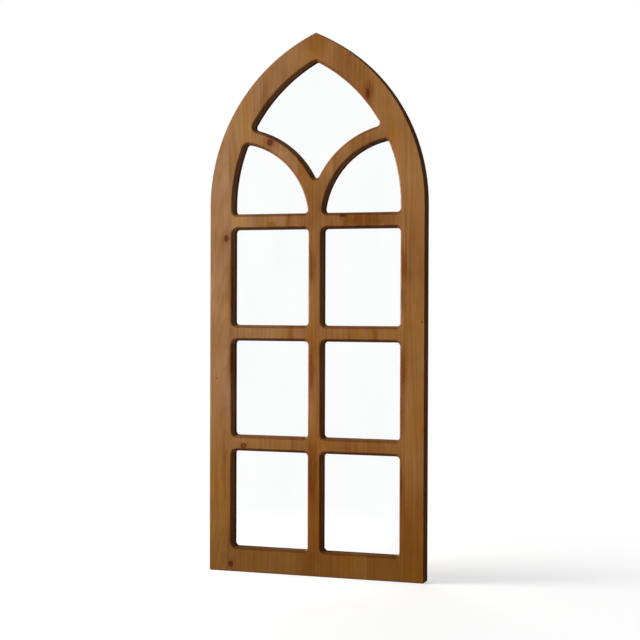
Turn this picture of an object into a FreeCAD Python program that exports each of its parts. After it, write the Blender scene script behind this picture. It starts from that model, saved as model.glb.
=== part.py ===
"""Arched window mirror: a pine panel routed into a nine-pane tracery window, over one arched mirror.

X runs to the right, Y from the front face to the wall and Z up. The origin is the middle of the bottom
of the bounding box. Sizes are in millimetres. "Wall" means the upright side of an opening, behind its
rounded front edge.
"""
import FreeCAD
import Part
import math
import os

Vec = FreeCAD.Vector

# The panel's outline
overall_width = 355.6
overall_height = 853.44
panel_thickness = 22.86
outer_arch_radius = 293.8
outer_corner_radius = 2.0
front_edge_ease = 1.2
back_edge_ease = 0.8

# The tracery, measured from wall to wall
stile_width = 40.6
bottom_rail_height = 40.0
bar_width = 25.2
low_rail_centre = 205.9
middle_rail_centre = 382.0
high_rail_centre = 558.9
branch_inner_radius = 125.0
pane_corner_radius = 5.5
front_roundover = 5.5
roundover_flats = 3

# The glued-up staves
edge_stave_width = 31.8
stave_count = 7

# The stepped rebate in the back
mirror_depth = 10.0
mirror_lap = 10.0
board_lap = 20.0
rebate_corner_radius = 6.0
mirror_thickness = 3.0
board_thickness = 2.5
mirror_clearance = 0.8
board_clearance = 0.5
mirror_corner_radius = 8.0
board_corner_radius = 8.0

# The backing-board screws
screw_from_board_edge = 5.0
side_screw_count = 3
first_side_screw_height = 70.0
side_screws_below_spring = 33.5
bottom_screw_count = 2
bottom_screw_spacing = 150.0
arch_screw_angles = (28.0, 52.0)

# Every screw: pan head, cross recess, plain shank for the thread
fastener_sides = 8
screw_head_radius = 2.9
screw_head_height = 1.7
screw_head_bevel = 0.9
screw_shank_radius = 1.15
screw_length = 9.5
recess_arm_length = 1.7
recess_arm_width = 0.7
recess_depth = 0.9
pilot_clearance = 0.15
pilot_end_room = 0.6

# The strap hangers
hanger_axis_height = 562.0
strap_width = 11.0
strap_length = 40.0
strap_thickness = 1.0
strap_end_radius = 4.0
strap_screw_drops = (20.0, 33.0)
strap_hole_clearance = 0.35
ring_over_strap = 0.3

# The D rings
ring_wire_radius = 1.25
ring_wire_sides = 8
ring_bend_steps = 3
ring_bow_steps = 8
ring_running_clearance = 0.06
ring_half_width = 8.2
ring_bend_radius = 2.2
ring_leg_length = 3.0

# The wall bumpers
bumper_radius = 6.0
bumper_height = 5.0
bumper_bevel = 1.4
bumper_from_side = 10.3
bumper_from_bottom = 9.6

# Places that follow from the sizes
half_width = overall_width / 2
front_y = -(panel_thickness + bumper_height) / 2
back_y = front_y + panel_thickness
mirror_front_y = front_y + mirror_depth
board_front_y = mirror_front_y + mirror_thickness
board_back_y = board_front_y + board_thickness
arch_centre_x = outer_arch_radius - half_width
spring_height = overall_height - math.sqrt(outer_arch_radius ** 2 - arch_centre_x ** 2)
half_bar = bar_width / 2
hanger_x = half_width - (stile_width - board_lap) / 2
ring_axis_y = back_y + strap_thickness + ring_over_strap + ring_wire_radius


def arch_face(inset, y):
    """Pointed-arch outline in the plane at y, set in by inset from the panel's sides and arch."""
    half = half_width - inset
    radius = outer_arch_radius - inset
    bottom = 0.0
    if inset > 0:
        bottom = bottom_rail_height - stile_width + inset
    apex = spring_height + math.sqrt(radius ** 2 - arch_centre_x ** 2)
    half_sweep = math.atan2(apex - spring_height, arch_centre_x) / 2
    haunch_x = radius * math.cos(half_sweep) - arch_centre_x
    haunch_z = spring_height + radius * math.sin(half_sweep)
    low_right = Vec(half, y, bottom)
    low_left = Vec(-half, y, bottom)
    spring_right = Vec(half, y, spring_height)
    spring_left = Vec(-half, y, spring_height)
    top = Vec(0, y, apex)
    return Part.Face(Part.Wire([
        Part.LineSegment(low_left, low_right).toShape(),
        Part.LineSegment(low_right, spring_right).toShape(),
        Part.Arc(spring_right, Vec(haunch_x, y, haunch_z), top).toShape(),
        Part.Arc(top, Vec(-haunch_x, y, haunch_z), spring_left).toShape(),
        Part.LineSegment(spring_left, low_left).toShape(),
    ]))


def rounded(face, radius, spread=0.0):
    """The outline with its corners rounded, then grown outwards by spread."""
    return face.makeOffset2D(-radius).makeOffset2D(radius + spread)


def rounded_arch(inset, radius, y0, y1):
    """Pointed-arch plate or pocket from y0 to y1 with rounded corners."""
    return rounded(arch_face(inset, y0), radius).extrude(Vec(0, y1 - y0, 0))


def rectangle(x0, x1, z0, z1):
    """Flat rectangle in the front plane."""
    corners = [Vec(x0, front_y, z0), Vec(x1, front_y, z0), Vec(x1, front_y, z1), Vec(x0, front_y, z1)]
    return Part.Face(Part.makePolygon(corners + corners[:1]))


def disc(radius, centre):
    """Flat disc in the front plane."""
    return Part.Face(Part.Wire(Part.makeCircle(radius, centre, Vec(0, 1, 0))))


def box(x0, x1, y0, y1, z0, z1):
    """Box between two corners."""
    return Part.makeBox(x1 - x0, y1 - y0, z1 - z0, Vec(x0, y0, z0))


def branch_band(side):
    """One curved branch: a ring sector that leaves the mullion and springs over to the arch."""
    centre = Vec(side * (half_bar + branch_inner_radius), front_y, high_rail_centre)
    ring = disc(branch_inner_radius + bar_width, centre).cut(disc(branch_inner_radius, centre))
    return ring.common(rectangle(-overall_width, overall_width, high_rail_centre, overall_height))


def pane_outlines():
    """The nine openings with sharp corners: the inner arch less the mullion, rails and branches."""
    bars = [rectangle(-half_bar, half_bar, 0, high_rail_centre)]
    for centre in (low_rail_centre, middle_rail_centre, high_rail_centre):
        bars.append(rectangle(-half_width, half_width, centre - half_bar, centre + half_bar))
    bars.append(branch_band(-1))
    bars.append(branch_band(1))
    return arch_face(stile_width, front_y).cut(bars).Faces


def pane_cutter(outline):
    """The opening right through the panel."""
    return rounded(outline, pane_corner_radius).extrude(Vec(0, panel_thickness, 0))


def roundover_cutter(outline):
    """What the rounded front edge takes away, in narrow flats that follow its quarter circle."""
    rings = []
    for index in range(roundover_flats + 1):
        turn = math.radians(90 * index / roundover_flats)
        spread = front_roundover * (1 - math.cos(turn))
        ring = rounded(outline, pane_corner_radius, spread).OuterWire
        ring.translate(Vec(0, front_roundover * (1 - math.sin(turn)), 0))
        rings.append(ring)
    return Part.makeLoft(rings, True, True)


def flat_face_at(solid, y):
    """The largest face that lies in the plane at y."""
    flat = [f for f in solid.Faces if f.BoundBox.YLength < 1e-3 and abs(f.BoundBox.YMin - y) < 1e-3]
    return max(flat, key=lambda f: f.Area)


def blank_panel():
    """The glued-up panel cut to its outline, with eased edges and nothing routed yet."""
    blank = arch_face(0, front_y).extrude(Vec(0, panel_thickness, 0))
    feet = [e for e in blank.Edges if e.BoundBox.YLength > panel_thickness / 2
            and e.BoundBox.ZMax < bottom_rail_height]
    blank = blank.makeFillet(outer_corner_radius, feet)
    blank = blank.makeChamfer(front_edge_ease, flat_face_at(blank, front_y).OuterWire.Edges)
    return blank.makeChamfer(back_edge_ease, flat_face_at(blank, back_y).OuterWire.Edges)


def routed_panel():
    """The whole wooden panel, before it is parted along its glue lines."""
    outlines = pane_outlines()
    cutters = [pane_cutter(outline) for outline in outlines]
    cutters += [roundover_cutter(outline) for outline in outlines]
    cutters.append(rounded_arch(stile_width - mirror_lap, rebate_corner_radius, mirror_front_y, back_y))
    cutters.append(rounded_arch(stile_width - board_lap, rebate_corner_radius, board_front_y, back_y))
    return blank_panel().cut(cutters)


def board_screw_places():
    """(x, z) of each backing-board screw, along the middle of the ledge."""
    inset = stile_width - board_lap + board_clearance + screw_from_board_edge
    side_x = half_width - inset
    bottom_z = bottom_rail_height - stile_width + inset
    step = (spring_height - side_screws_below_spring - first_side_screw_height) / (side_screw_count - 1)
    places = []
    for index in range(side_screw_count):
        for side in (-1, 1):
            places.append((side * side_x, first_side_screw_height + index * step))
    for index in range(bottom_screw_count):
        places.append(((index - (bottom_screw_count - 1) / 2) * bottom_screw_spacing, bottom_z))
    radius = outer_arch_radius - inset
    for angle in arch_screw_angles:
        turn = math.radians(angle)
        for side in (-1, 1):
            x = side * (radius * math.cos(turn) - arch_centre_x)
            places.append((x, spring_height + radius * math.sin(turn)))
    return places


def strap_screw_places():
    """(x, z) of the two screws in each strap."""
    return [(side * hanger_x, hanger_axis_height - drop) for side in (-1, 1) for drop in strap_screw_drops]


def along_y(radius, x, z, y0, y1):
    """Small rod or hole from y0 to y1, as a many-sided prism so that the repeats stay light."""
    corners = []
    for index in range(fastener_sides + 1):
        turn = math.radians(360 * (index + 0.5) / fastener_sides)
        corners.append(Vec(x + radius * math.cos(turn), y0, z + radius * math.sin(turn)))
    return Part.Face(Part.makePolygon(corners)).extrude(Vec(0, y1 - y0, 0))


def pan_screw(x, z, seat_y):
    """Pan-head screw driven towards the front, its head resting on the plane at seat_y."""
    head_top = seat_y + screw_head_height
    head = along_y(screw_head_radius, x, z, seat_y, head_top)
    rim = [e for e in head.Edges if e.BoundBox.YMin > head_top - 1e-3]
    head = head.makeChamfer(screw_head_bevel, rim)
    shank = along_y(screw_shank_radius, x, z, seat_y - screw_length, seat_y)
    arm = recess_arm_width / 2
    reach = recess_arm_length
    floor_y = head_top - recess_depth
    slots = [
        box(x - reach, x + reach, floor_y, head_top, z - arm, z + arm),
        box(x - arm, x + arm, floor_y, head_top, z - reach, z + reach),
    ]
    return head.fuse(shank).cut(slots)


def pilot_hole(x, z, seat_y):
    """Blind pilot hole in the wood for one screw."""
    depth = screw_length + pilot_end_room
    return along_y(screw_shank_radius + pilot_clearance, x, z, seat_y - depth, back_y)


def drilled_panel():
    """The panel with its pilot holes."""
    holes = [pilot_hole(x, z, board_back_y) for x, z in board_screw_places()]
    holes += [pilot_hole(x, z, back_y + strap_thickness) for x, z in strap_screw_places()]
    return routed_panel().cut(holes)


def stave_edges():
    """X of each glue line, with the panel's sides at the ends."""
    inner_half = half_width - edge_stave_width
    inner_width = 2 * inner_half / (stave_count - 2)
    lines = [-inner_half + index * inner_width for index in range(stave_count - 1)]
    return [-half_width] + lines + [half_width]


def staves():
    """The panel parted along its glue lines, left to right."""
    panel = drilled_panel()
    lines = stave_edges()
    return [panel.common(box(x0, x1, front_y, back_y, 0, overall_height))
            for x0, x1 in zip(lines, lines[1:])]


def mirror_glass():
    """One arched sheet of mirror behind all nine panes."""
    inset = stile_width - mirror_lap + mirror_clearance
    return rounded_arch(inset, mirror_corner_radius, mirror_front_y, board_front_y)


def backing_board():
    """The hardboard that closes the back, drilled for its screws."""
    inset = stile_width - board_lap + board_clearance
    board = rounded_arch(inset, board_corner_radius, board_front_y, board_back_y)
    radius = screw_shank_radius + pilot_clearance
    return board.cut([along_y(radius, x, z, board_front_y, board_back_y) for x, z in board_screw_places()])


def hanger_strap(side):
    """Steel strap, its top end rolled round the straight side of the D ring."""
    x0 = side * hanger_x - strap_width / 2
    bore = ring_wire_radius + ring_running_clearance
    curl = bore + strap_thickness
    plate = box(x0, x0 + strap_width, back_y, back_y + strap_thickness,
                hanger_axis_height - strap_length, hanger_axis_height)
    toe = [e for e in plate.Edges if e.BoundBox.YLength > strap_thickness / 2
           and e.BoundBox.ZMax < hanger_axis_height - strap_length / 2]
    plate = plate.makeFillet(strap_end_radius, toe)
    axis = Vec(x0, ring_axis_y, hanger_axis_height)
    roll = Part.makeCylinder(curl, strap_width, axis, Vec(1, 0, 0))
    heel = box(x0, x0 + strap_width, back_y, ring_axis_y, hanger_axis_height - curl, hanger_axis_height)
    strap = plate.fuse([roll, heel]).removeSplitter()
    cuts = [Part.makeCylinder(bore, strap_width, axis, Vec(1, 0, 0))]
    hole = screw_shank_radius + strap_hole_clearance
    for drop in strap_screw_drops:
        cuts.append(along_y(hole, side * hanger_x, hanger_axis_height - drop, back_y, back_y + strap_thickness))
    return strap.cut(cuts)


def bend_points(centre, radius, start, end, steps):
    """Points round a bend in the upright plane, from start to end in degrees, both ends included."""
    turns = [math.radians(start + (end - start) * index / steps) for index in range(steps + 1)]
    return [centre + Vec(radius * math.cos(turn), 0, radius * math.sin(turn)) for turn in turns]


def hanging_ring(side):
    """D ring of round wire, hanging from its straight side in the strap's roll."""
    middle = Vec(side * hanger_x, ring_axis_y, hanger_axis_height)
    flat = ring_half_width - ring_bend_radius
    bow = middle - Vec(0, 0, ring_bend_radius + ring_leg_length)
    path = [middle]
    path += bend_points(middle + Vec(flat, 0, -ring_bend_radius), ring_bend_radius, 90, 0, ring_bend_steps)
    path += bend_points(bow, ring_half_width, 0, -180, ring_bow_steps)
    path += bend_points(middle + Vec(-flat, 0, -ring_bend_radius), ring_bend_radius, 180, 90, ring_bend_steps)
    path.append(middle)
    section = []
    for index in range(ring_wire_sides + 1):
        turn = math.radians(360 * (index + 0.5) / ring_wire_sides)
        section.append(middle + Vec(0, ring_wire_radius * math.cos(turn), ring_wire_radius * math.sin(turn)))
    return Part.makePolygon(path).makePipeShell([Part.makePolygon(section)], True, False, 1)


def bumper(side):
    """Soft round pad that keeps a lower corner off the wall."""
    x = side * (half_width - bumper_from_side)
    pad = Part.makeCylinder(bumper_radius, bumper_height, Vec(x, back_y, bumper_from_bottom), Vec(0, 1, 0))
    rim = [e for e in pad.Edges if e.BoundBox.YMin > back_y + bumper_height / 2]
    return pad.makeChamfer(bumper_bevel, rim)


def save(name, solids):
    """Write one node's solids to its own file."""
    Part.makeCompound(solids).exportStep(os.path.join("parts", name + ".step"))


os.makedirs("parts", exist_ok=True)

stave_names = ("left_edge_stave", "left_stile_stave", "left_pane_stave", "mullion_stave",
               "right_pane_stave", "right_stile_stave", "right_edge_stave")
for stave_name, stave in zip(stave_names, staves()):
    save(stave_name, stave.Solids)
save("mirror_glass", [mirror_glass()])
save("backing_board", [backing_board()])
save("backing_board_screws", [pan_screw(x, z, board_back_y) for x, z in board_screw_places()])
save("left_hanger_strap", [hanger_strap(-1)])
save("right_hanger_strap", [hanger_strap(1)])
save("left_hanging_ring", [hanging_ring(-1)])
save("right_hanging_ring", [hanging_ring(1)])
save("hanger_screws", [pan_screw(x, z, back_y + strap_thickness) for x, z in strap_screw_places()])
save("wall_bumpers", [bumper(-1), bumper(1)])
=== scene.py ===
"""Arched window mirror, dressed: stained pine tracery over one mirror, with its backing board and hangers.

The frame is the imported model: metres, X to the right, Y from the front face to the wall, Z up.
"""

import math

import bmesh
import bpy
import numpy as np
from mathutils import Matrix, Vector


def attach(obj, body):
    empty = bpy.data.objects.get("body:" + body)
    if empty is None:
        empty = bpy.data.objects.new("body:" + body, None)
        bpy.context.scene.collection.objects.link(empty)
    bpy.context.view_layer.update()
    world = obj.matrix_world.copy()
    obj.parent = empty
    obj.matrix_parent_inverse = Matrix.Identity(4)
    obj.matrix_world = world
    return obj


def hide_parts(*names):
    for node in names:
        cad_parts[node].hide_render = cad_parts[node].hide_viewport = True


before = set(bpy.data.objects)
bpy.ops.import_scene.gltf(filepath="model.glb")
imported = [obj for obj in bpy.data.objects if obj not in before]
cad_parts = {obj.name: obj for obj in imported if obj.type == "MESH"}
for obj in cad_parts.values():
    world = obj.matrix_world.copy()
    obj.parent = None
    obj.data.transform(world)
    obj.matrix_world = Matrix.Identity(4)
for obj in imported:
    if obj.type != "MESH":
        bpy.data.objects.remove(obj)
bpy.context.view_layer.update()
mm = 0.001

# ---------------------------------------------------------------------------------------------------------
# The place where the mirror stands: an eye-level camera a little to its right, a pale floor, a pale room,
# one large soft window light far to the left and a weak lamp behind for the hanging side.

camera_yaw = math.radians(18.414)
camera_pitch = math.radians(-0.732)
camera_roll = math.radians(0.192)
camera_distance = 2.27547
camera_aim = Vector((0.00858, -0.01393, 0.40354))
camera_lens = 81.68
lamp_aim = Vector((0, 0, 0.45))
window_place = Vector((-2.7, -1.0, 1.0))
window_size = (1.3, 1.7)
window_power = 182.0
window_colour = (1.0, 0.99, 0.97)
back_lamp_place = Vector((-1.1, 2.0, 1.5))
back_lamp_size = (1.2, 1.2)
back_lamp_power = 30.0
back_lamp_colour = (1.0, 1.0, 1.0)

# The room's soft light goes by the slant x + room_turn * y of its direction. The span of the slant is the
# range 0 to 1, from the window side to the far side, on which the levels stand.
room_turn = 0.35
room_span = (-1.1, 0.3)
room_light = [(0.43, (0.38, 0.38, 0.38, 1)), (0.79, (0.07, 0.07, 0.07, 1))]

# The floor is grey paint under a thin white veil, and fades to plain white this far from the middle
floor_height = -0.0003
floor_reach = 30.0
floor_paint_colour = (0.50, 0.50, 0.50, 1)
floor_veil_colour = (0.58, 0.58, 0.58, 1)
floor_fade_span = (0.2, 0.8)


def look_from(place, target):
    """Placing whose minus Z axis points from place to target, with Z kept upright."""
    turn = (target - place).to_track_quat("-Z", "Y")
    return Matrix.Translation(place) @ turn.to_matrix().to_4x4()


def soft_lamp(name, place, target, size, power, colour):
    """Rectangular area lamp that faces target."""
    data = bpy.data.lights.new(name, "AREA")
    data.shape = "RECTANGLE"
    data.size = size[0]
    data.size_y = size[1]
    data.energy = power
    data.color = colour
    lamp = bpy.data.objects.new(name, data)
    lamp.matrix_world = look_from(place, target)
    bpy.context.scene.collection.objects.link(lamp)


def ramp(tree, value, stops):
    """Colour ramp through (position, colour) stops."""
    node = tree.nodes.new("ShaderNodeValToRGB")
    while len(node.color_ramp.elements) < len(stops):
        node.color_ramp.elements.new(1.0)
    for element, (position, colour) in zip(node.color_ramp.elements, stops):
        element.position = position
        element.color = colour
    tree.links.new(value, node.inputs[0])
    return node.outputs[0]


def seen_directly(tree):
    """1 for rays from the camera and for rays that gloss or glass sends on, else 0."""
    path = tree.nodes.new("ShaderNodeLightPath")
    total = path.outputs["Is Camera Ray"]
    for kind in ("Is Glossy Ray", "Is Transmission Ray"):
        add = tree.nodes.new("ShaderNodeMath")
        add.operation = "MAXIMUM"
        tree.links.new(total, add.inputs[0])
        tree.links.new(path.outputs[kind], add.inputs[1])
        total = add.outputs[0]
    return total


ahead = Vector((-math.sin(camera_yaw) * math.cos(camera_pitch),
                math.cos(camera_yaw) * math.cos(camera_pitch),
                math.sin(camera_pitch)))
level = ahead.cross(Vector((0, 0, 1))).normalized()
upright = level.cross(ahead)
camera_right = level * math.cos(camera_roll) + upright * math.sin(camera_roll)
camera_up = upright * math.cos(camera_roll) - level * math.sin(camera_roll)
camera = bpy.data.objects.new("camera", bpy.data.cameras.new("camera"))
camera.data.lens = camera_lens
camera.data.sensor_width = 36.0
camera.data.clip_end = 100.0
camera.matrix_world = Matrix.Translation(camera_aim - ahead * camera_distance) @ Matrix(
    (camera_right, camera_up, -ahead)).transposed().to_4x4()
bpy.context.scene.collection.objects.link(camera)
bpy.context.scene.camera = camera
bpy.context.scene.view_settings.view_transform = "Standard"

soft_lamp("window_light", window_place, lamp_aim, window_size, window_power, window_colour)
soft_lamp("back_lamp", back_lamp_place, lamp_aim, back_lamp_size, back_lamp_power, back_lamp_colour)

room = bpy.data.worlds.new("pale_room")
bpy.context.scene.world = room
room.use_nodes = True
room_tree = room.node_tree
room_tree.nodes.clear()
bearing = room_tree.nodes.new("ShaderNodeSeparateXYZ")
room_tree.links.new(room_tree.nodes.new("ShaderNodeTexCoord").outputs["Generated"], bearing.inputs[0])
slant = room_tree.nodes.new("ShaderNodeMath")
slant.operation = "MULTIPLY_ADD"
slant.inputs[1].default_value = room_turn
room_tree.links.new(bearing.outputs[1], slant.inputs[0])
room_tree.links.new(bearing.outputs[0], slant.inputs[2])
across_room = room_tree.nodes.new("ShaderNodeMapRange")
across_room.inputs["From Min"].default_value = room_span[0]
across_room.inputs["From Max"].default_value = room_span[1]
room_tree.links.new(slant.outputs[0], across_room.inputs["Value"])
soft_light = room_tree.nodes.new("ShaderNodeBackground")
room_tree.links.new(ramp(room_tree, across_room.outputs["Result"], room_light), soft_light.inputs["Color"])
paper = room_tree.nodes.new("ShaderNodeBackground")
paper.inputs["Color"].default_value = (1, 1, 1, 1)
light_or_paper = room_tree.nodes.new("ShaderNodeMixShader")
room_out = room_tree.nodes.new("ShaderNodeOutputWorld")
room_tree.links.new(seen_directly(room_tree), light_or_paper.inputs[0])
room_tree.links.new(soft_light.outputs[0], light_or_paper.inputs[1])
room_tree.links.new(paper.outputs[0], light_or_paper.inputs[2])
room_tree.links.new(light_or_paper.outputs[0], room_out.inputs["Surface"])

floor_finish = bpy.data.materials.new("pale_floor")
floor_finish.use_nodes = True
floor_tree = floor_finish.node_tree
floor_tree.nodes.clear()
floor_paint = floor_tree.nodes.new("ShaderNodeBsdfDiffuse")
floor_paint.inputs["Color"].default_value = floor_paint_colour
floor_glow = floor_tree.nodes.new("ShaderNodeEmission")
floor_distance = floor_tree.nodes.new("ShaderNodeVectorMath")
floor_distance.operation = "LENGTH"
floor_tree.links.new(floor_tree.nodes.new("ShaderNodeTexCoord").outputs["Object"], floor_distance.inputs[0])
floor_fade = floor_tree.nodes.new("ShaderNodeMapRange")
floor_fade.interpolation_type = "SMOOTHSTEP"
floor_fade.inputs["From Min"].default_value = floor_fade_span[0]
floor_fade.inputs["From Max"].default_value = floor_fade_span[1]
floor_tree.links.new(floor_distance.outputs["Value"], floor_fade.inputs["Value"])
floor_share = floor_tree.nodes.new("ShaderNodeMath")
floor_share.operation = "MULTIPLY"
floor_tree.links.new(floor_fade.outputs["Result"], floor_share.inputs[1])
floor_lift = floor_tree.nodes.new("ShaderNodeMath")
floor_lift.operation = "SUBTRACT"
floor_lift.use_clamp = True
floor_veil = floor_tree.nodes.new("ShaderNodeEmission")
floor_veil.inputs["Color"].default_value = floor_veil_colour
floor_mix = floor_tree.nodes.new("ShaderNodeMixShader")
floor_sum = floor_tree.nodes.new("ShaderNodeAddShader")
floor_out = floor_tree.nodes.new("ShaderNodeOutputMaterial")
direct = seen_directly(floor_tree)
floor_tree.links.new(direct, floor_share.inputs[0])
floor_tree.links.new(direct, floor_lift.inputs[0])
floor_tree.links.new(floor_share.outputs[0], floor_lift.inputs[1])
floor_tree.links.new(floor_lift.outputs[0], floor_veil.inputs["Strength"])
floor_tree.links.new(floor_share.outputs[0], floor_mix.inputs[0])
floor_tree.links.new(floor_paint.outputs[0], floor_mix.inputs[1])
floor_tree.links.new(floor_glow.outputs[0], floor_mix.inputs[2])
floor_tree.links.new(floor_mix.outputs[0], floor_sum.inputs[0])
floor_tree.links.new(floor_veil.outputs[0], floor_sum.inputs[1])
floor_tree.links.new(floor_sum.outputs[0], floor_out.inputs["Surface"])
floor_corners = [(x * floor_reach, y * floor_reach, floor_height)
                 for x, y in ((-1, -1), (1, -1), (1, 1), (-1, 1))]
floor_mesh = bpy.data.meshes.new("floor")
floor_mesh.from_pydata(floor_corners, [], [(0, 1, 2, 3)])
floor_mesh.materials.append(floor_finish)
floor = bpy.data.objects.new("floor", floor_mesh)
bpy.context.scene.collection.objects.link(floor)

# ---------------------------------------------------------------------------------------------------------
# Seven pine staves, glued edge to edge with the grain upright, then routed as one panel: nine openings with
# rounded front edges, eased outer edges, and a stepped rebate behind. Brown stain under a satin clear coat;
# the routed walls are coloured darker, and painted shade darkens the undersides of the rails.

half_width = 177.8
mirror_y = -3.93 * mm
arch_centre_x = 116.0 * mm
spring_height = 583.51 * mm
tracery_reach = 275.0 * mm
ring_spacing = 2.7 * mm
ring_unevenness = 1.6
crease_angle = math.radians(42)

# Per stave: its glue lines, the pith's place behind the face and its lean with height
stave_woods = {
    "left_edge_stave": dict(sides=(-half_width, -146.0), pith=(-0.150, 0.030), lean=(0.010, 0.055), seed=1.3),
    "left_stile_stave": dict(sides=(-146.0, -87.6), pith=(-0.170, 0.095), lean=(-0.012, 0.020), seed=4.1),
    "left_pane_stave": dict(sides=(-87.6, -29.2), pith=(-0.020, 0.120), lean=(0.004, 0.010), seed=7.7),
    "mullion_stave": dict(sides=(-29.2, 29.2), pith=(0.070, 0.110), lean=(0.006, -0.012), seed=11.9),
    "right_pane_stave": dict(sides=(29.2, 87.6), pith=(0.015, 0.090), lean=(0.003, 0.015), seed=15.2),
    "right_stile_stave": dict(sides=(87.6, 146.0), pith=(0.200, 0.080), lean=(0.010, 0.012), seed=18.6),
    "right_edge_stave": dict(sides=(146.0, half_width), pith=(0.090, 0.105), lean=(-0.006, 0.008), seed=22.4),
}

# Noise in the wood: cycles per metre along X, Y and Z, what is added to the stave's seed, detail, roughness
grain_noise = {
    "wander": ((9, 9, 2.2), 0, 2.0, 0.5),
    "ripple": ((70, 70, 12), 3, 2.0, 0.5),
    "knot_wobble": ((420, 200, 420), 5, 2.0, 0.5),
    "streak": ((240, 240, 5), 7, 2.0, 0.6),
    "ring_strength": ((28, 28, 3.5), 9, 1.0, 0.5),
    "cloud": ((15, 15, 8), 11, 3.0, 0.55),
    "ragged": ((110, 110, 60), 13, 3.0, 0.6),
    "golden": ((34, 34, 9), 17, 3.0, 0.6),
    "fibre": ((1100, 1100, 24), 0, 3.0, 0.65),
}

# One growth ring from pale early wood to dark late wood, and the stained colour from light to deep
ring_profile = [(0.0, (0.10, 0.10, 0.10, 1)), (0.45, (0.16, 0.16, 0.16, 1)), (0.82, (0.9, 0.9, 0.9, 1)),
                (0.93, (1, 1, 1, 1)), (1.0, (0.10, 0.10, 0.10, 1))]
stain_depths = [(0.0, (0.42, 0.226, 0.103, 1)), (0.35, (0.315, 0.150, 0.056, 1)),
                (0.65, (0.225, 0.091, 0.027, 1)), (1.0, (0.120, 0.038, 0.009, 1))]

# What each part of the grain adds to the depth of the stain
plain_depth = 0.42
late_depth = 0.15
cloud_depth = 0.75
streak_depth = 0.27
fibre_depth = 0.36

golden_tint = (1.07, 0.97, 0.60, 1)
cloud_colour = (0.165, 0.047, 0.004, 1)
knot_halo_colour = (0.205, 0.052, 0.014, 1)
knot_core_colour = (0.080, 0.019, 0.009, 1)
glue_colour = (0.06, 0.020, 0.005, 1)
wall_tint = (0.52, 0.43, 0.40, 1)
underside_shade_tint = (0.36, 0.28, 0.24, 1)
mirror_edge_shadow_colour = (0.006, 0.003, 0.002, 1)

# Tone of the stain across the frame, left to right, with a painted sheen that pales and greys the left; and
# painted shade, a deeper tone, near its foot
across_tones_and_sheen = [(0.10, (1.05, 1.20, 1.50, 1)), (0.38, (0.99, 1.04, 1.10, 1)), (0.48, (0.94, 0.90, 0.78, 1)),
                (0.56, (0.94, 0.91, 0.80, 1)), (0.72, (0.99, 1.00, 0.94, 1)), (0.92, (1.04, 1.02, 0.86, 1))]
foot_shade_tone = (0.78, 0.66, 0.36, 1)

# Knots: X and Z of the centre, half width and half height in millimetres, and how hollow the heart is
knots = [
    (-150.0, 533.0, 4.2, 6.0, 0.0),
    (-76.0, 684.0, 5.4, 5.6, 0.2),
    (-119.5, 202.0, 5.4, 4.0, 0.8),
    (-141.0, 12.0, 4.6, 4.6, 0.3),
    (85.0, 755.0, 2.8, 8.0, 0.0),
    (45.0, 566.5, 5.0, 2.8, 0.0),
    (-166.0, 309.0, 1.1, 1.1, 0.0),
    (173.0, 402.0, 1.0, 1.3, 0.0),
]

# Darker, redder clouds in the stain: X and Z, half width and half height in millimetres, strength
clouds = [
    (-84.0, 750.0, 8.0, 22.0, 0.6),
    (-45.0, 560.0, 4.0, 13.0, 0.8),
    (-73.0, 553.0, 7.0, 7.0, 0.6),
    (-60.0, 549.0, 16.0, 3.5, 0.5),
    (-40.0, 381.0, 3.0, 12.0, 0.6),
    (-97.0, 383.0, 12.0, 12.0, 0.25),
    (-76.0, 684.0, 13.0, 12.0, 0.5),
    (-142.0, 455.0, 4.5, 46.0, 0.95),
    (-142.0, 335.0, 4.0, 26.0, 0.8),
    (-153.0, 170.0, 3.5, 50.0, 0.55),
    (-166.0, 120.0, 3.0, 60.0, 0.3),
    (-160.0, 440.0, 14.0, 12.0, 0.25),
    (-163.0, 356.0, 9.0, 14.0, 0.25),
    (-6.0, 486.0, 6.0, 26.0, 1.0),
    (-6.0, 325.0, 6.0, 36.0, 0.9),
    (-4.0, 165.0, 8.0, 48.0, 1.0),
    (0.0, 838.0, 14.0, 16.0, 0.5),
    (84.0, 560.0, 34.0, 12.0, 1.0),
    (52.0, 559.0, 4.0, 9.0, 0.6),
    (80.0, 206.0, 44.0, 15.0, 0.5),
    (97.0, 380.0, 5.0, 13.0, 0.7),
    (74.0, 678.0, 16.0, 16.0, 0.65),
    (52.0, 800.0, 5.0, 24.0, 0.35),
    (86.0, 758.0, 7.0, 17.0, 0.9),
    (141.0, 490.0, 6.0, 24.0, 1.0),
    (140.0, 438.0, 4.0, 22.0, 0.9),
    (150.0, 475.0, 10.0, 12.0, 0.5),
    (141.0, 328.0, 6.0, 28.0, 1.0),
    (139.0, 270.0, 4.5, 30.0, 0.8),
    (139.0, 150.0, 5.0, 26.0, 0.8),
    (158.0, 110.0, 18.0, 36.0, 0.35),
]


def value_of(tree, operation, *inputs):
    """Socket with the result of one math step on sockets or numbers."""
    node = tree.nodes.new("ShaderNodeMath")
    node.operation = operation
    for index, value in enumerate(inputs):
        if isinstance(value, (int, float)):
            node.inputs[index].default_value = value
        else:
            tree.links.new(value, node.inputs[index])
    return node.outputs[0]


def spread(tree, value, low, high, out_low=0.0, out_high=1.0):
    """Smooth step of value from low to high, sent to the range out_low to out_high."""
    node = tree.nodes.new("ShaderNodeMapRange")
    node.interpolation_type = "SMOOTHSTEP"
    for name, number in (("From Min", low), ("From Max", high), ("To Min", out_low), ("To Max", out_high)):
        node.inputs[name].default_value = number
    tree.links.new(value, node.inputs["Value"])
    return node.outputs["Result"]


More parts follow.
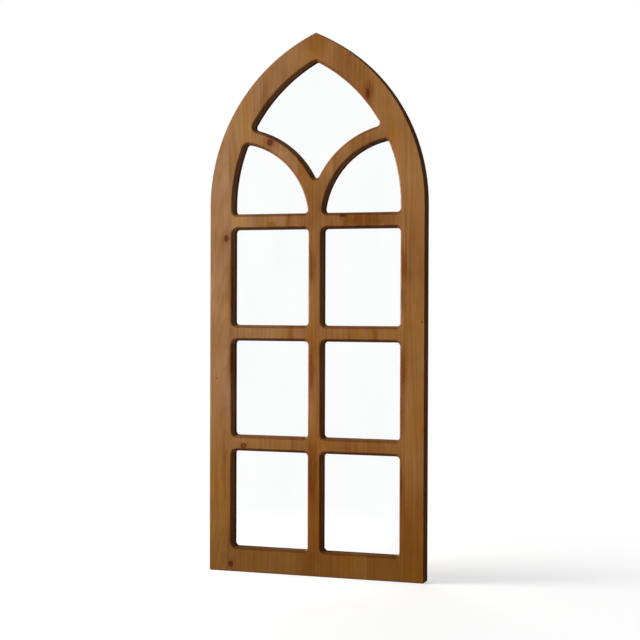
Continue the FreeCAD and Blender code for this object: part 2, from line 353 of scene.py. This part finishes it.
def blotches(tree, place, scale, shift, detail=2.0, roughness=0.5):
    """Soft noise between 0 and 1, stretched by a scale per axis and moved by shift."""
    stretch = tree.nodes.new("ShaderNodeMapping")
    stretch.inputs["Scale"].default_value = scale
    stretch.inputs["Location"].default_value = (shift, shift * 1.7, shift * 0.6)
    noise = tree.nodes.new("ShaderNodeTexNoise")
    noise.inputs["Scale"].default_value = 1.0
    noise.inputs["Detail"].default_value = detail
    noise.inputs["Roughness"].default_value = roughness
    tree.links.new(place, stretch.inputs["Vector"])
    tree.links.new(stretch.outputs["Vector"], noise.inputs["Vector"])
    return noise


def blended(tree, share, first, second, kind="MIX"):
    """Colour between first and second by share. Each may be a socket or a plain colour."""
    node = tree.nodes.new("ShaderNodeMix")
    node.data_type = "RGBA"
    node.blend_type = kind
    for socket, value in ((node.inputs[0], share), (node.inputs[6], first), (node.inputs[7], second)):
        if isinstance(value, bpy.types.NodeSocket):
            tree.links.new(value, socket)
        else:
            socket.default_value = value
    return node.outputs[2]


def nudged(tree, value, noise, reach):
    """value + (noise - 0.5) * reach."""
    offset = value_of(tree, "SUBTRACT", noise, 0.5)
    return value_of(tree, "ADD", value, value_of(tree, "MULTIPLY", offset, reach))


def sum_of_squares(tree, first, second):
    """first^2 + second^2."""
    return value_of(tree, "ADD", value_of(tree, "MULTIPLY", first, first),
                    value_of(tree, "MULTIPLY", second, second))


def tinted(tree, share, colour, tint):
    """Colour between colour and the product colour * tint, by share."""
    return blended(tree, share, colour, blended(tree, 1.0, colour, tint, "MULTIPLY"))


def hill(tree, x, z, centre_x, centre_z, half_wide, half_high):
    """exp(-d^2) and d, where d^2 = (dx / half_wide)^2 + (dz / half_high)^2 about a centre on the face."""
    across = value_of(tree, "DIVIDE", value_of(tree, "SUBTRACT", x, centre_x), half_wide)
    along = value_of(tree, "DIVIDE", value_of(tree, "SUBTRACT", z, centre_z), half_high)
    square = sum_of_squares(tree, across, along)
    bell = value_of(tree, "EXPONENT", value_of(tree, "MULTIPLY", square, -1.0))
    return bell, value_of(tree, "SQRT", square)


def stained_pine(stave, sides, pith, lean, seed):
    """Pine cut from a log whose pith runs at pith and leans with height: growth rings are even steps of the
    distance from that line, bent by a slow wander and pushed aside by the knots. Depth of stain = plain +
    late wood + cloud + streak + fibre. Knots, clouds, glue lines, tones with a painted sheen, darker walls,
    and painted shade and shadow lie over it."""
    finish = bpy.data.materials.new("stained_pine_" + stave)
    finish.use_nodes = True
    tree = finish.node_tree
    shader = tree.nodes["Principled BSDF"]
    place = tree.nodes.new("ShaderNodeTexCoord").outputs["Object"]
    split = tree.nodes.new("ShaderNodeSeparateXYZ")
    tree.links.new(place, split.inputs[0])
    x, y, z = split.outputs
    noise = {name: blotches(tree, place, scale, seed + shift, detail, roughness).outputs
             for name, (scale, shift, detail, roughness) in grain_noise.items()}
    fibre, streak, cloud = (noise[name]["Fac"] for name in ("fibre", "streak", "cloud"))

    # Place in the log, moved by the wander, the ripple and the knots
    sway = tree.nodes.new("ShaderNodeSeparateColor")
    tree.links.new(noise["wander"]["Color"], sway.inputs[0])
    across = nudged(tree, x, sway.outputs[0], 20 * mm)
    across = nudged(tree, across, noise["ripple"]["Fac"], 1.6 * mm)
    deep = nudged(tree, y, sway.outputs[1], 16 * mm)
    knot_core = 0.0
    knot_halo = 0.0
    for knot_x, knot_z, half_wide, half_high, hollow in knots:
        if not sides[0] - 5 < knot_x < sides[1] + 5:
            continue
        centre = (knot_x * mm, knot_z * mm)
        near, _ = hill(tree, x, z, *centre, half_wide * 2.0 * mm, half_high * 4.5 * mm)
        push = value_of(tree, "MULTIPLY", value_of(tree, "SUBTRACT", x, centre[0]),
                        value_of(tree, "MULTIPLY", near, 0.85))
        across = value_of(tree, "SUBTRACT", across, push)
        halo, far = hill(tree, x, z, *centre, half_wide * 1.5 * mm, half_high * 1.5 * mm)
        edge = nudged(tree, value_of(tree, "MULTIPLY", far, 1.5), noise["knot_wobble"]["Fac"], 0.5)
        core = spread(tree, edge, 0.75, 1.1, 1.0, 0.0)
        core = value_of(tree, "SUBTRACT", core, spread(tree, edge, 0.25, 0.65, hollow, 0.0))
        knot_core = value_of(tree, "MAXIMUM", core, knot_core)
        knot_halo = value_of(tree, "MAXIMUM", halo, knot_halo)

    # Growth rings: distance from the pith in ring spacings, unevenly spaced, strong in some places
    from_pith = []
    for value, offset, slope in ((across, pith[0], lean[0]), (deep, pith[1], lean[1])):
        pith_line = value_of(tree, "ADD", value_of(tree, "MULTIPLY", z, slope), offset)
        from_pith.append(value_of(tree, "SUBTRACT", value, pith_line))
    count = value_of(tree, "DIVIDE", value_of(tree, "SQRT", sum_of_squares(tree, *from_pith)), ring_spacing)
    uneven = tree.nodes.new("ShaderNodeTexNoise")
    uneven.noise_dimensions = "1D"
    uneven.inputs["Scale"].default_value = 0.35
    uneven.inputs["Detail"].default_value = 1.0
    tree.links.new(value_of(tree, "ADD", count, seed), uneven.inputs["W"])
    count = value_of(tree, "ADD", count, value_of(tree, "MULTIPLY", uneven.outputs["Fac"], ring_unevenness))
    ring = ramp(tree, value_of(tree, "FRACT", count), ring_profile)
    strength = spread(tree, noise["ring_strength"]["Fac"], 0.3, 0.75, 0.25, 1.0)
    late = value_of(tree, "MULTIPLY", ring, strength)

    # Depth of the stain in the grain, and golden areas
    depth = value_of(tree, "MULTIPLY", late, late_depth)
    for pattern, amount in ((cloud, cloud_depth), (streak, streak_depth), (fibre, fibre_depth)):
        depth = nudged(tree, depth, pattern, amount)
    colour = ramp(tree, value_of(tree, "ADD", depth, plain_depth), stain_depths)
    golden = spread(tree, noise["golden"]["Fac"], 0.42, 0.70, 0.0, 0.85)
    colour = tinted(tree, golden, colour, golden_tint)

    # Dark clouds with ragged rims, knots and glue lines
    ragged = tree.nodes.new("ShaderNodeSeparateColor")
    tree.links.new(noise["ragged"]["Color"], ragged.inputs[0])
    ragged_x = nudged(tree, x, ragged.outputs[0], 8 * mm)
    ragged_z = nudged(tree, z, ragged.outputs[1], 24 * mm)
    for cloud_x, cloud_z, half_wide, half_high, dark in clouds:
        if not sides[0] - 2.5 * half_wide < cloud_x < sides[1] + 2.5 * half_wide:
            continue
        near, _ = hill(tree, ragged_x, ragged_z, cloud_x * mm, cloud_z * mm, half_wide * mm, half_high * mm)
        near = value_of(tree, "MINIMUM", value_of(tree, "MULTIPLY", near, 1.5), 1.0)
        patch = value_of(tree, "MULTIPLY", near, spread(tree, streak, 0.25, 0.75, dark * 0.6, dark))
        colour = blended(tree, patch, colour, cloud_colour)
    if knot_core != 0.0:
        colour = blended(tree, value_of(tree, "MULTIPLY", knot_halo, 0.75), colour, knot_halo_colour)
        colour = blended(tree, value_of(tree, "MULTIPLY", knot_core, 0.88), colour, knot_core_colour)
    for side in sides:
        if abs(side) < half_width:
            off_line = value_of(tree, "ABSOLUTE", value_of(tree, "SUBTRACT", x, side * mm))
            colour = blended(tree, spread(tree, off_line, 0.1 * mm, 0.7 * mm, 0.30, 0.0), colour, glue_colour)

    # Tone from left to right (0 to 1 over 360 mm), and painted shade towards the foot
    # The tone is the stain's own per stave, but its left end pales and greys the stain: a painted sheen of
    # the window light falling across the face.
    tone = ramp(tree, value_of(tree, "ADD", value_of(tree, "DIVIDE", x, 0.36), 0.5), across_tones_and_sheen)
    colour = blended(tree, 1.0, colour, tone, "MULTIPLY")
    # Painted shade: deeper and darker towards the foot, more so on the left, and darker still over the bottom
    # 10 cm.
    low = spread(tree, value_of(tree, "ADD", z, value_of(tree, "MULTIPLY", x, 0.25)), 0.12, 0.27, 1.0, 0.0)
    colour = tinted(tree, low, colour, foot_shade_tone)
    colour = blended(tree, spread(tree, z, 0.03, 0.10, 0.18, 0.0), colour, (0, 0, 0, 1))

    # Routed walls, the undersides of the rails, and a painted shadow on the last millimetres of wall beside
    # the mirror
    facing = tree.nodes.new("ShaderNodeSeparateXYZ")
    tree.links.new(tree.nodes.new("ShaderNodeNewGeometry").outputs["Normal"], facing.inputs[0])
    flatness = value_of(tree, "ABSOLUTE", facing.outputs[1])
    # Every surface turned away from the face and back, routed walls, rounded edges and outer sides, is
    # coloured darker by wall_tint.
    wall = spread(tree, flatness, 0.972, 0.998, 1.0, 0.0)
    colour = tinted(tree, value_of(tree, "MULTIPLY", wall, 0.9), colour, wall_tint)
    # Painted shade: surfaces that face down, the undersides of the rails and of the flatter arch edges, are
    # coloured darker as if in shadow.
    downward = value_of(tree, "MULTIPLY", facing.outputs[2], -1.0)
    downward = value_of(tree, "SUBTRACT", downward, value_of(tree, "ABSOLUTE", facing.outputs[0]))
    colour = tinted(tree, spread(tree, downward, 0.12, 0.62, 0.0, 0.9), colour, underside_shade_tint)
    # Painted shadow: near-black on the wall where it meets the mirror, fading out over about 4 mm, inside the
    # tracery only.
    above_spring = value_of(tree, "MAXIMUM", value_of(tree, "SUBTRACT", z, spring_height), 0.0)
    from_centre = value_of(tree, "ADD", value_of(tree, "ABSOLUTE", x), arch_centre_x)
    girth = value_of(tree, "SQRT", sum_of_squares(tree, above_spring, from_centre))
    off_mirror = value_of(tree, "ABSOLUTE", value_of(tree, "SUBTRACT", y, mirror_y - 0.3 * mm))
    mirror_edge_shadow = spread(tree, off_mirror, 0.8 * mm, 4.2 * mm, 1.0, 0.0)
    in_tracery = value_of(tree, "LESS_THAN", girth, tracery_reach)
    mirror_edge_shadow = value_of(tree, "MULTIPLY", mirror_edge_shadow, in_tracery)
    colour = blended(tree, value_of(tree, "MULTIPLY", mirror_edge_shadow, 0.9), colour, mirror_edge_shadow_colour)

    # Satin clear coat on the faces, duller on the routed walls, with the fibres standing in it
    shader.inputs["Specular IOR Level"].default_value = 0.05
    tree.links.new(colour, shader.inputs["Base Color"])
    dullness = value_of(tree, "ADD", value_of(tree, "MULTIPLY", streak, 0.12),
                        value_of(tree, "MULTIPLY", cloud, 0.10))
    dullness = value_of(tree, "ADD", dullness, spread(tree, flatness, 0.08, 0.30, 0.80, 0.28))
    tree.links.new(dullness, shader.inputs["Roughness"])
    grooves = tree.nodes.new("ShaderNodeBump")
    grooves.inputs["Strength"].default_value = 0.22
    grooves.inputs["Distance"].default_value = 0.25 * mm
    height = value_of(tree, "SUBTRACT", fibre, value_of(tree, "MULTIPLY", late, 0.5))
    tree.links.new(height, grooves.inputs["Height"])
    tree.links.new(grooves.outputs["Normal"], shader.inputs["Normal"])
    return finish


def welded(node):
    """The node's loose triangles as one closed mesh: corners at the same place become one vertex."""
    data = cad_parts[node].data
    places = np.empty(len(data.vertices) * 3, np.float32)
    data.vertices.foreach_get("co", places)
    corners = np.empty(len(data.loops), np.int32)
    data.loops.foreach_get("vertex_index", corners)
    grid, index = np.unique(np.round(places.reshape(-1, 3), 7), axis=0, return_inverse=True)
    faces = index.reshape(-1)[corners].reshape(-1, 3)
    whole = (faces[:, 0] != faces[:, 1]) & (faces[:, 1] != faces[:, 2]) & (faces[:, 2] != faces[:, 0])
    mesh = bpy.data.meshes.new(node)
    mesh.from_pydata(grid, [], faces[whole])
    return mesh


def put(name, mesh, finish, body, slot, *nodes):
    """Object for a finished mesh that stands for nodes of the frame and moves with a body."""
    mesh.materials.append(finish)
    mesh.shade_smooth()
    piece = bpy.data.objects.new(name, mesh)
    bpy.context.scene.collection.objects.link(piece)
    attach(piece, body)
    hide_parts(*nodes)
    return piece


for stave_name, wood in stave_woods.items():
    stave = put(stave_name + "_wood", welded(stave_name), stained_pine(stave_name, **wood),
                "frame", "pine", stave_name)
    stave.data.set_sharp_from_angle(angle=crease_angle)
    shade = stave.modifiers.new("even_shading", "WEIGHTED_NORMAL")
    shade.keep_sharp = True

# ---------------------------------------------------------------------------------------------------------
# One arched sheet of mirror: float glass with its silvering and grey backing paint on the rear, lying in the
# shallow step of the rebate. Its edge shows the green of the glass.

# Two near-white silver colours; the bands between them are a painted reflection.
silver_and_reflection_tones = [(0.3, (0.955, 0.962, 0.965, 1)), (0.7, (0.975, 0.980, 0.980, 1))]
glass_edge_green = (0.10, 0.26, 0.20, 1)
backing_grey = (0.23, 0.24, 0.25, 1)
silvered = bpy.data.materials.new("silvered_glass")
silvered.use_nodes = True
silver_tree = silvered.node_tree
silver_shader = silver_tree.nodes["Principled BSDF"]
silver_facing = silver_tree.nodes.new("ShaderNodeSeparateXYZ")
silver_normal = silver_tree.nodes.new("ShaderNodeNewGeometry").outputs["Normal"]
silver_tree.links.new(silver_normal, silver_facing.inputs[0])
bright = spread(silver_tree, value_of(silver_tree, "MULTIPLY", silver_facing.outputs[1], -1.0), 0.4, 0.6)
rear = spread(silver_tree, silver_facing.outputs[1], 0.4, 0.6)
silver_place = silver_tree.nodes.new("ShaderNodeTexCoord").outputs["Object"]
# Painted reflection: faint upright bands of lighter and darker silver, standing in for the room seen in the
# mirror.
reflection_bands = blotches(silver_tree, silver_place, (22, 22, 9), 2.0, 3.0).outputs["Fac"]
edge_tone = blended(silver_tree, rear, glass_edge_green, backing_grey)
silver_tree.links.new(blended(silver_tree, bright, edge_tone, ramp(silver_tree, reflection_bands, silver_and_reflection_tones)),
                      silver_shader.inputs["Base Color"])
silver_tree.links.new(bright, silver_shader.inputs["Metallic"])
silver_tree.links.new(spread(silver_tree, bright, 0.0, 1.0, 0.35, 0.012), silver_shader.inputs["Roughness"])
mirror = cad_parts["mirror_glass"]
mirror.data.materials.clear()
mirror.data.materials.append(silvered)

# ---------------------------------------------------------------------------------------------------------
# The backing board: thin pressed hardboard, dark brown with a fine felted grain, held round its edge by
# pan-head screws.

board_browns = [(0.3, (0.145, 0.075, 0.036, 1)), (0.5, (0.235, 0.130, 0.066, 1)),
                (0.7, (0.315, 0.190, 0.105, 1))]
hardboard = bpy.data.materials.new("hardboard")
hardboard.use_nodes = True
board_tree = hardboard.node_tree
board_shader = board_tree.nodes["Principled BSDF"]
board_place = board_tree.nodes.new("ShaderNodeTexCoord").outputs["Object"]
felt = blotches(board_tree, board_place, (900, 900, 900), 1.0, 4.0, 0.7).outputs["Fac"]
mottle = blotches(board_tree, board_place, (35, 35, 35), 3.0, 4.0, 0.6).outputs["Fac"]
board_depth = value_of(board_tree, "ADD", value_of(board_tree, "MULTIPLY", felt, 0.55),
                       value_of(board_tree, "MULTIPLY", mottle, 0.45))
board_tree.links.new(ramp(board_tree, board_depth, board_browns), board_shader.inputs["Base Color"])
board_tree.links.new(spread(board_tree, mottle, 0.3, 0.7, 0.48, 0.66), board_shader.inputs["Roughness"])
board_bump = board_tree.nodes.new("ShaderNodeBump")
board_bump.inputs["Strength"].default_value = 0.25
board_bump.inputs["Distance"].default_value = 0.15 * mm
board_tree.links.new(felt, board_bump.inputs["Height"])
board_tree.links.new(board_bump.outputs["Normal"], board_shader.inputs["Normal"])
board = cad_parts["backing_board"]
board.data.materials.clear()
board.data.materials.append(hardboard)

# ---------------------------------------------------------------------------------------------------------
# Sixteen zinc-plated pan-head screws with a cross recess: twelve hold the board, two hold each strap. The
# head is a flattened dome, and the shank is threaded and ends in a point in the wood.

head_radius = 2.9 * mm
head_height = 1.7 * mm
shank_radius = 1.15 * mm
thread_lift = 0.13 * mm
thread_pitch = 1.3 * mm
screw_length = 9.5 * mm
recess_reach = 1.7 * mm
recess_half_width = 0.36 * mm
recess_depth = 0.9 * mm
recess_softness = 0.16 * mm
board_seat_y = 1.57 * mm
strap_seat_y = 9.93 * mm
board_screw_places = [
    (-151.7, 70.0), (151.7, 70.0), (-151.7, 310.0), (151.7, 310.0), (-151.7, 550.0), (151.7, 550.0),
    (-75.0, 25.5), (75.0, 25.5), (-120.37, 709.2), (120.37, 709.2), (-48.82, 794.4), (48.82, 794.4)]
hanger_x = 167.5 * mm
hanger_screw_heights = (529.0 * mm, 542.0 * mm)
board_screw_turn = 0.9
strap_screw_turn = 1.3


def plated(name, dull, bright, rough_low, rough_high):
    """Zinc plate: fine crystal mottle between two greys, roughness with it."""
    finish = bpy.data.materials.new(name)
    finish.use_nodes = True
    tree = finish.node_tree
    shader = tree.nodes["Principled BSDF"]
    shader.inputs["Metallic"].default_value = 1.0
    place = tree.nodes.new("ShaderNodeTexCoord").outputs["Object"]
    grain = blotches(tree, place, (900, 900, 900), 2.0, 3.0, 0.6).outputs["Fac"]
    smear = blotches(tree, place, (160, 160, 160), 5.0, 3.0, 0.6).outputs["Fac"]
    mixed = value_of(tree, "ADD", value_of(tree, "MULTIPLY", grain, 0.45),
                     value_of(tree, "MULTIPLY", smear, 0.55))
    tree.links.new(ramp(tree, mixed, [(0.35, dull), (0.65, bright)]), shader.inputs["Base Color"])
    tree.links.new(spread(tree, mixed, 0.35, 0.65, rough_high, rough_low), shader.inputs["Roughness"])
    scratch = tree.nodes.new("ShaderNodeBump")
    scratch.inputs["Strength"].default_value = 0.12
    scratch.inputs["Distance"].default_value = 0.05 * mm
    tree.links.new(grain, scratch.inputs["Height"])
    tree.links.new(scratch.outputs["Normal"], shader.inputs["Normal"])
    return finish


def closed_mesh(name, grids):
    """One mesh from grids of points, rows along and columns around. The last column joins the first, corners
    at one place become one vertex, and a square with two like corners becomes a triangle."""
    places, squares, start = [], [], 0
    for grid in grids:
        rows, columns = grid.shape[:2]
        index = start + np.arange(rows * columns).reshape(rows, columns)
        beside = np.roll(index, -1, axis=1)
        square = np.stack([index[:-1], index[1:], beside[1:], beside[:-1]], axis=-1)
        squares.append(square.reshape(-1, 4))
        places.append(grid.reshape(-1, 3))
        start += rows * columns
    kept, same = np.unique(np.round(np.concatenate(places), 7), axis=0, return_inverse=True)
    squares = same.reshape(-1)[np.concatenate(squares)]
    alike = squares == np.roll(squares, -1, axis=1)
    faces = squares[~alike.any(axis=1)].tolist()
    for side in range(4):
        folded = squares[alike[:, side] & (alike.sum(axis=1) == 1)]
        faces += np.delete(folded, side, axis=1).tolist()
    mesh = bpy.data.meshes.new(name)
    mesh.from_pydata(kept, [], faces)
    shell = bmesh.new()
    shell.from_mesh(mesh)
    bmesh.ops.recalc_face_normals(shell, faces=shell.faces)
    shell.to_mesh(mesh)
    shell.free()
    return mesh


def screw_grid(x, z, seat_y, turn):
    """Screw as rings of points about its own line. Shank: radius = core + lift * ridge(depth / pitch -
    angle), closing to a point. Head: superellipse of order three, (r/R)^3 + (h/H)^3 = 1, less the cross
    recess."""
    angle = np.linspace(0, 2 * np.pi, 56, endpoint=False)[None, :]
    depth = np.linspace(screw_length, 0, 44)[:, None]
    ridge = np.abs(2 * np.mod(depth / thread_pitch - angle / (2 * np.pi), 1) - 1) ** 2
    taper = np.clip((screw_length - depth) / (2.2 * mm), 0, 1) ** 0.7
    shank_r = (shank_radius + thread_lift * ridge) * taper
    shank_y = np.broadcast_to(seat_y - depth, shank_r.shape)
    rim = np.linspace(0, 1, 5)[:, None]
    under_r = np.broadcast_to(shank_radius + rim * (head_radius * 0.97 - shank_radius), (5, angle.size))
    under_y = np.full((5, angle.size), seat_y)
    share = np.concatenate([np.linspace(0.0, 0.5, 7), np.linspace(0.54, 1.0, 17)])[:, None]
    dome_r = np.broadcast_to(head_radius * np.cos(share * np.pi / 2) ** (2 / 3), (share.size, angle.size))
    dome_h = head_height * np.sin(share * np.pi / 2) ** (2 / 3)
    along, aside = np.abs(dome_r * np.cos(angle)), np.abs(dome_r * np.sin(angle))
    inside = 0.0
    for reach, width in ((along, aside), (aside, along)):
        long_way = np.clip((recess_reach + recess_softness - reach) / (2 * recess_softness), 0, 1)
        wide_way = np.clip((recess_half_width + recess_softness - width) / (2 * recess_softness), 0, 1)
        inside = np.maximum(inside, long_way * wide_way)
    dome_y = seat_y + dome_h - inside * recess_depth * (1 - 0.35 * dome_r / recess_reach)
    radius = np.concatenate([shank_r, under_r, dome_r])
    height = np.concatenate([shank_y, under_y, dome_y])
    return np.stack([x + radius * np.cos(angle + turn), height, z + radius * np.sin(angle + turn)], axis=-1)


zinc = plated("zinc_plated_screw", (0.50, 0.50, 0.49, 1), (0.66, 0.66, 0.65, 1), 0.26, 0.42)
board_grids = [screw_grid(x * mm, z * mm, board_seat_y, board_screw_turn * index)
               for index, (x, z) in enumerate(board_screw_places)]
board_screws = put("board_screws", closed_mesh("board_screws", board_grids), zinc,
                   "frame", "zinc_screws", "backing_board_screws")
board_screws.data.set_sharp_from_angle(angle=crease_angle)
strap_grids = [screw_grid(side * hanger_x, height, strap_seat_y, strap_screw_turn * index + side)
               for side in (-1, 1) for index, height in enumerate(hanger_screw_heights)]
strap_screws = put("strap_screws", closed_mesh("strap_screws", strap_grids), zinc,
                   "frame", "zinc_screws", "hanger_screws")
strap_screws.data.set_sharp_from_angle(angle=crease_angle)

# ---------------------------------------------------------------------------------------------------------
# Two strap hangers of zinc-plated steel strip, screwed flat on the back of the stiles. The top end is rolled
# over the straight side of the D ring, and the toe is rounded.

axis_y = 11.48 * mm
axis_z = 562.0 * mm
strap_half_width = 5.5 * mm
strap_half_thickness = 0.5 * mm
strap_edge = 0.3 * mm
strap_length = 40.0 * mm
toe_radius = 4.0 * mm
roll_radius = 1.81 * mm
roll_degrees = 286
strap_middle_y = 9.43 * mm


def strap_grid(centre_x):
    """Strip section, a rounded oblong, carried up the plate and then round the roll: the middle line's
    radius eases from the plate's distance to roll_radius. The toe narrows as sqrt(R^2 - (R - s)^2)."""
    rise = np.concatenate([np.linspace(0, 1, 12) ** 2 * toe_radius,
                           np.linspace(toe_radius, strap_length, 14)[1:]])
    turn = np.radians(np.linspace(0, roll_degrees, 46))[1:]
    start = axis_y - strap_middle_y
    radius = roll_radius + (start - roll_radius) * np.clip(1 - turn / (np.pi / 2), 0, 1) ** 2
    line_y = np.concatenate([np.full(rise.size, strap_middle_y), axis_y - radius * np.cos(turn)])
    line_z = np.concatenate([axis_z - strap_length + rise, axis_z + radius * np.sin(turn)])
    out_y = np.concatenate([np.full(rise.size, -1.0), -np.cos(turn)])
    out_z = np.concatenate([np.zeros(rise.size), np.sin(turn)])
    short = np.clip(toe_radius - np.concatenate([rise, np.full(turn.size, toe_radius)]), 0, None)
    half = strap_half_width - toe_radius + np.sqrt(toe_radius ** 2 - short ** 2)
    corner = np.repeat([0, 1, 2, 3], 5)
    angle = (corner + np.tile(np.linspace(0, 1, 5), 4)) * np.pi / 2
    side_x = np.where((corner == 0) | (corner == 3), 1, -1)
    side_t = np.where(corner < 2, 1, -1)
    width = side_x * (half[:, None] - strap_edge) + strap_edge * np.cos(angle)
    thick = side_t * (strap_half_thickness - strap_edge) + strap_edge * np.sin(angle)
    grid = np.stack([centre_x + width, line_y[:, None] + out_y[:, None] * thick,
                     line_z[:, None] + out_z[:, None] * thick], axis=-1)
    ends = [np.broadcast_to(row.mean(axis=0), row.shape)[None] for row in (grid[0], grid[-1])]
    return np.concatenate([ends[0], grid, ends[1]])


strip_zinc = plated("zinc_plated_strip", (0.47, 0.47, 0.46, 1), (0.64, 0.64, 0.63, 1), 0.30, 0.46)
for side, side_name in ((-1, "left"), (1, "right")):
    strap_mesh = closed_mesh(side_name + "_strap", [strap_grid(side * hanger_x)])
    strap = put(side_name + "_strap", strap_mesh, strip_zinc,
                "frame", "zinc_steel", side_name + "_hanger_strap")
    strap.data.set_sharp_from_angle(angle=crease_angle)

# ---------------------------------------------------------------------------------------------------------
# Two D rings of round zinc-plated wire. Each hangs by its straight side in the strap's roll and turns there.

wire_radius = 1.25 * mm
ring_half_width = 8.2 * mm
ring_bend = 2.2 * mm
ring_leg = 3.0 * mm


def ring_grid(centre_x):
    """Round section carried once round a D: straight side, two tight bends, two legs and a half-circle
    bow."""
    flat = ring_half_width - ring_bend
    bow_z = -ring_bend - ring_leg
    runs = [(np.linspace(0, flat, 8), np.zeros(8), np.full(8, np.pi / 2))]
    for mid_x, mid_z, radius, first, last, count in (
            (flat, -ring_bend, ring_bend, 90, 0, 12), (0, bow_z, ring_half_width, 0, -180, 64),
            (-flat, -ring_bend, ring_bend, 180, 90, 12)):
        bend = np.radians(np.linspace(first, last, count))
        runs.append((mid_x + radius * np.cos(bend), mid_z + radius * np.sin(bend), bend))
    runs.append((np.linspace(-flat, 0, 8), np.zeros(8), np.full(8, np.pi / 2)))
    line_x, line_z, outward = (np.concatenate(part)[:, None] for part in zip(*runs))
    angle = np.linspace(0, 2 * np.pi, 28, endpoint=False)[None, :]
    swell = wire_radius * np.cos(angle)
    return np.stack([centre_x + line_x + swell * np.cos(outward),
                     axis_y + np.broadcast_to(wire_radius * np.sin(angle), swell.shape) + 0 * line_x,
                     axis_z + line_z + swell * np.sin(outward)], axis=-1)


wire_zinc = plated("zinc_plated_wire", (0.52, 0.52, 0.50, 1), (0.70, 0.70, 0.68, 1), 0.20, 0.34)
for side, side_name in ((-1, "left"), (1, "right")):
    put(side_name + "_d_ring", closed_mesh(side_name + "_d_ring", [ring_grid(side * hanger_x)]), wire_zinc,
        side_name + "_ring", "ring_steel", side_name + "_hanging_ring")

# ---------------------------------------------------------------------------------------------------------
# Two soft rubber bumpers stuck on the lower corners of the back, so that the frame hangs clear of the wall.

pad_radius = 6.0 * mm
pad_height = 5.0 * mm
pad_base_y = 8.93 * mm
dimple_depth = 0.25 * mm
dimple_radius = 1.6 * mm
pad_places = ((-167.5 * mm, 9.6 * mm), (167.5 * mm, 9.6 * mm))


def pad_grid(x, z):
    """Turned pad: a side that leans in slightly, a superellipse shoulder of order four, and a shallow dimple
    on top, dimple_depth * exp(-(r / dimple_radius)^2)."""
    share = np.linspace(0, np.pi / 2, 22)[:, None]
    radius = np.concatenate([[[0.0]], [[pad_radius * 0.94]], pad_radius * np.cos(share) ** 0.5])
    height = np.concatenate([[[0.0]], [[0.0]], pad_height * (0.08 + 0.92 * np.sin(share) ** 0.5)])
    height = height - dimple_depth * np.exp(-(radius / dimple_radius) ** 2) * (height > pad_height / 2)
    angle = np.linspace(0, 2 * np.pi, 48, endpoint=False)[None, :]
    return np.stack([x + radius * np.cos(angle), pad_base_y + height + 0 * angle,
                     z + radius * np.sin(angle)], axis=-1)


rubber_blacks = [(0.3, (0.030, 0.027, 0.025, 1)), (0.7, (0.072, 0.066, 0.060, 1))]
rubber = bpy.data.materials.new("soft_rubber")
rubber.use_nodes = True
rubber_tree = rubber.node_tree
rubber_shader = rubber_tree.nodes["Principled BSDF"]
rubber_place = rubber_tree.nodes.new("ShaderNodeTexCoord").outputs["Object"]
dust = blotches(rubber_tree, rubber_place, (500, 500, 500), 4.0, 4.0, 0.65).outputs["Fac"]
rubber_tree.links.new(ramp(rubber_tree, dust, rubber_blacks), rubber_shader.inputs["Base Color"])
rubber_tree.links.new(spread(rubber_tree, dust, 0.3, 0.7, 0.5, 0.72), rubber_shader.inputs["Roughness"])
put("rubber_bumpers", closed_mesh("rubber_bumpers", [pad_grid(x, z) for x, z in pad_places]), rubber,
    "frame", "rubber_pad", "wall_bumpers")
